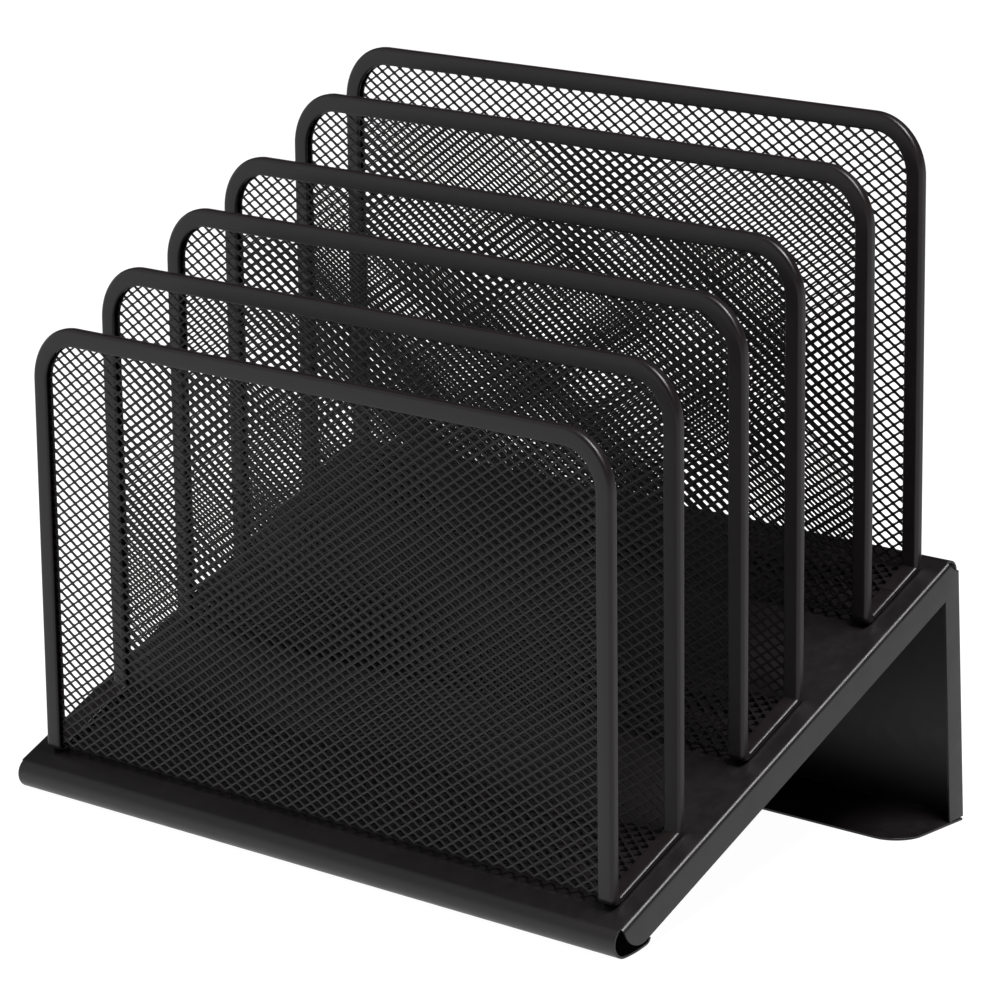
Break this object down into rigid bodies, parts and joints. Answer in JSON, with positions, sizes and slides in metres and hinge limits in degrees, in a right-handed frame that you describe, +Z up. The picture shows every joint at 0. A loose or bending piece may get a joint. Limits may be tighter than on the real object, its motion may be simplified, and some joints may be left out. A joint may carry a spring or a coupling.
{
  "type": "desktop file sorter",
  "caption": "Sloped bent-steel stand carrying U-shaped expanded-metal trays whose rimmed walls stand as stepped upright dividers for folders and papers.",
  "frame": {"origin": "middle of the footprint, on the surface the sorter stands on", "axes": "+X to the sorter's right seen from its front, -Y to its low front lip, +Y to its rear leg, +Z up"},
  "size_m": [0.33, 0.22, 0.2913],
  "materials": {
    "stand_coat": "satin black powder coat",
    "mesh_coat": "satin black powder coat on expanded metal",
    "rim_coat": "satin black powder coat"
  },
  "bodies": {
    "root": {"stand": "stand_coat", "front_tray_mesh": "mesh_coat", "front_tray_rim": "rim_coat", "middle_tray_mesh": "mesh_coat", "middle_tray_rim": "rim_coat", "rear_tray_mesh": "mesh_coat", "rear_tray_rim": "rim_coat"}
  },
  "joints": []
}
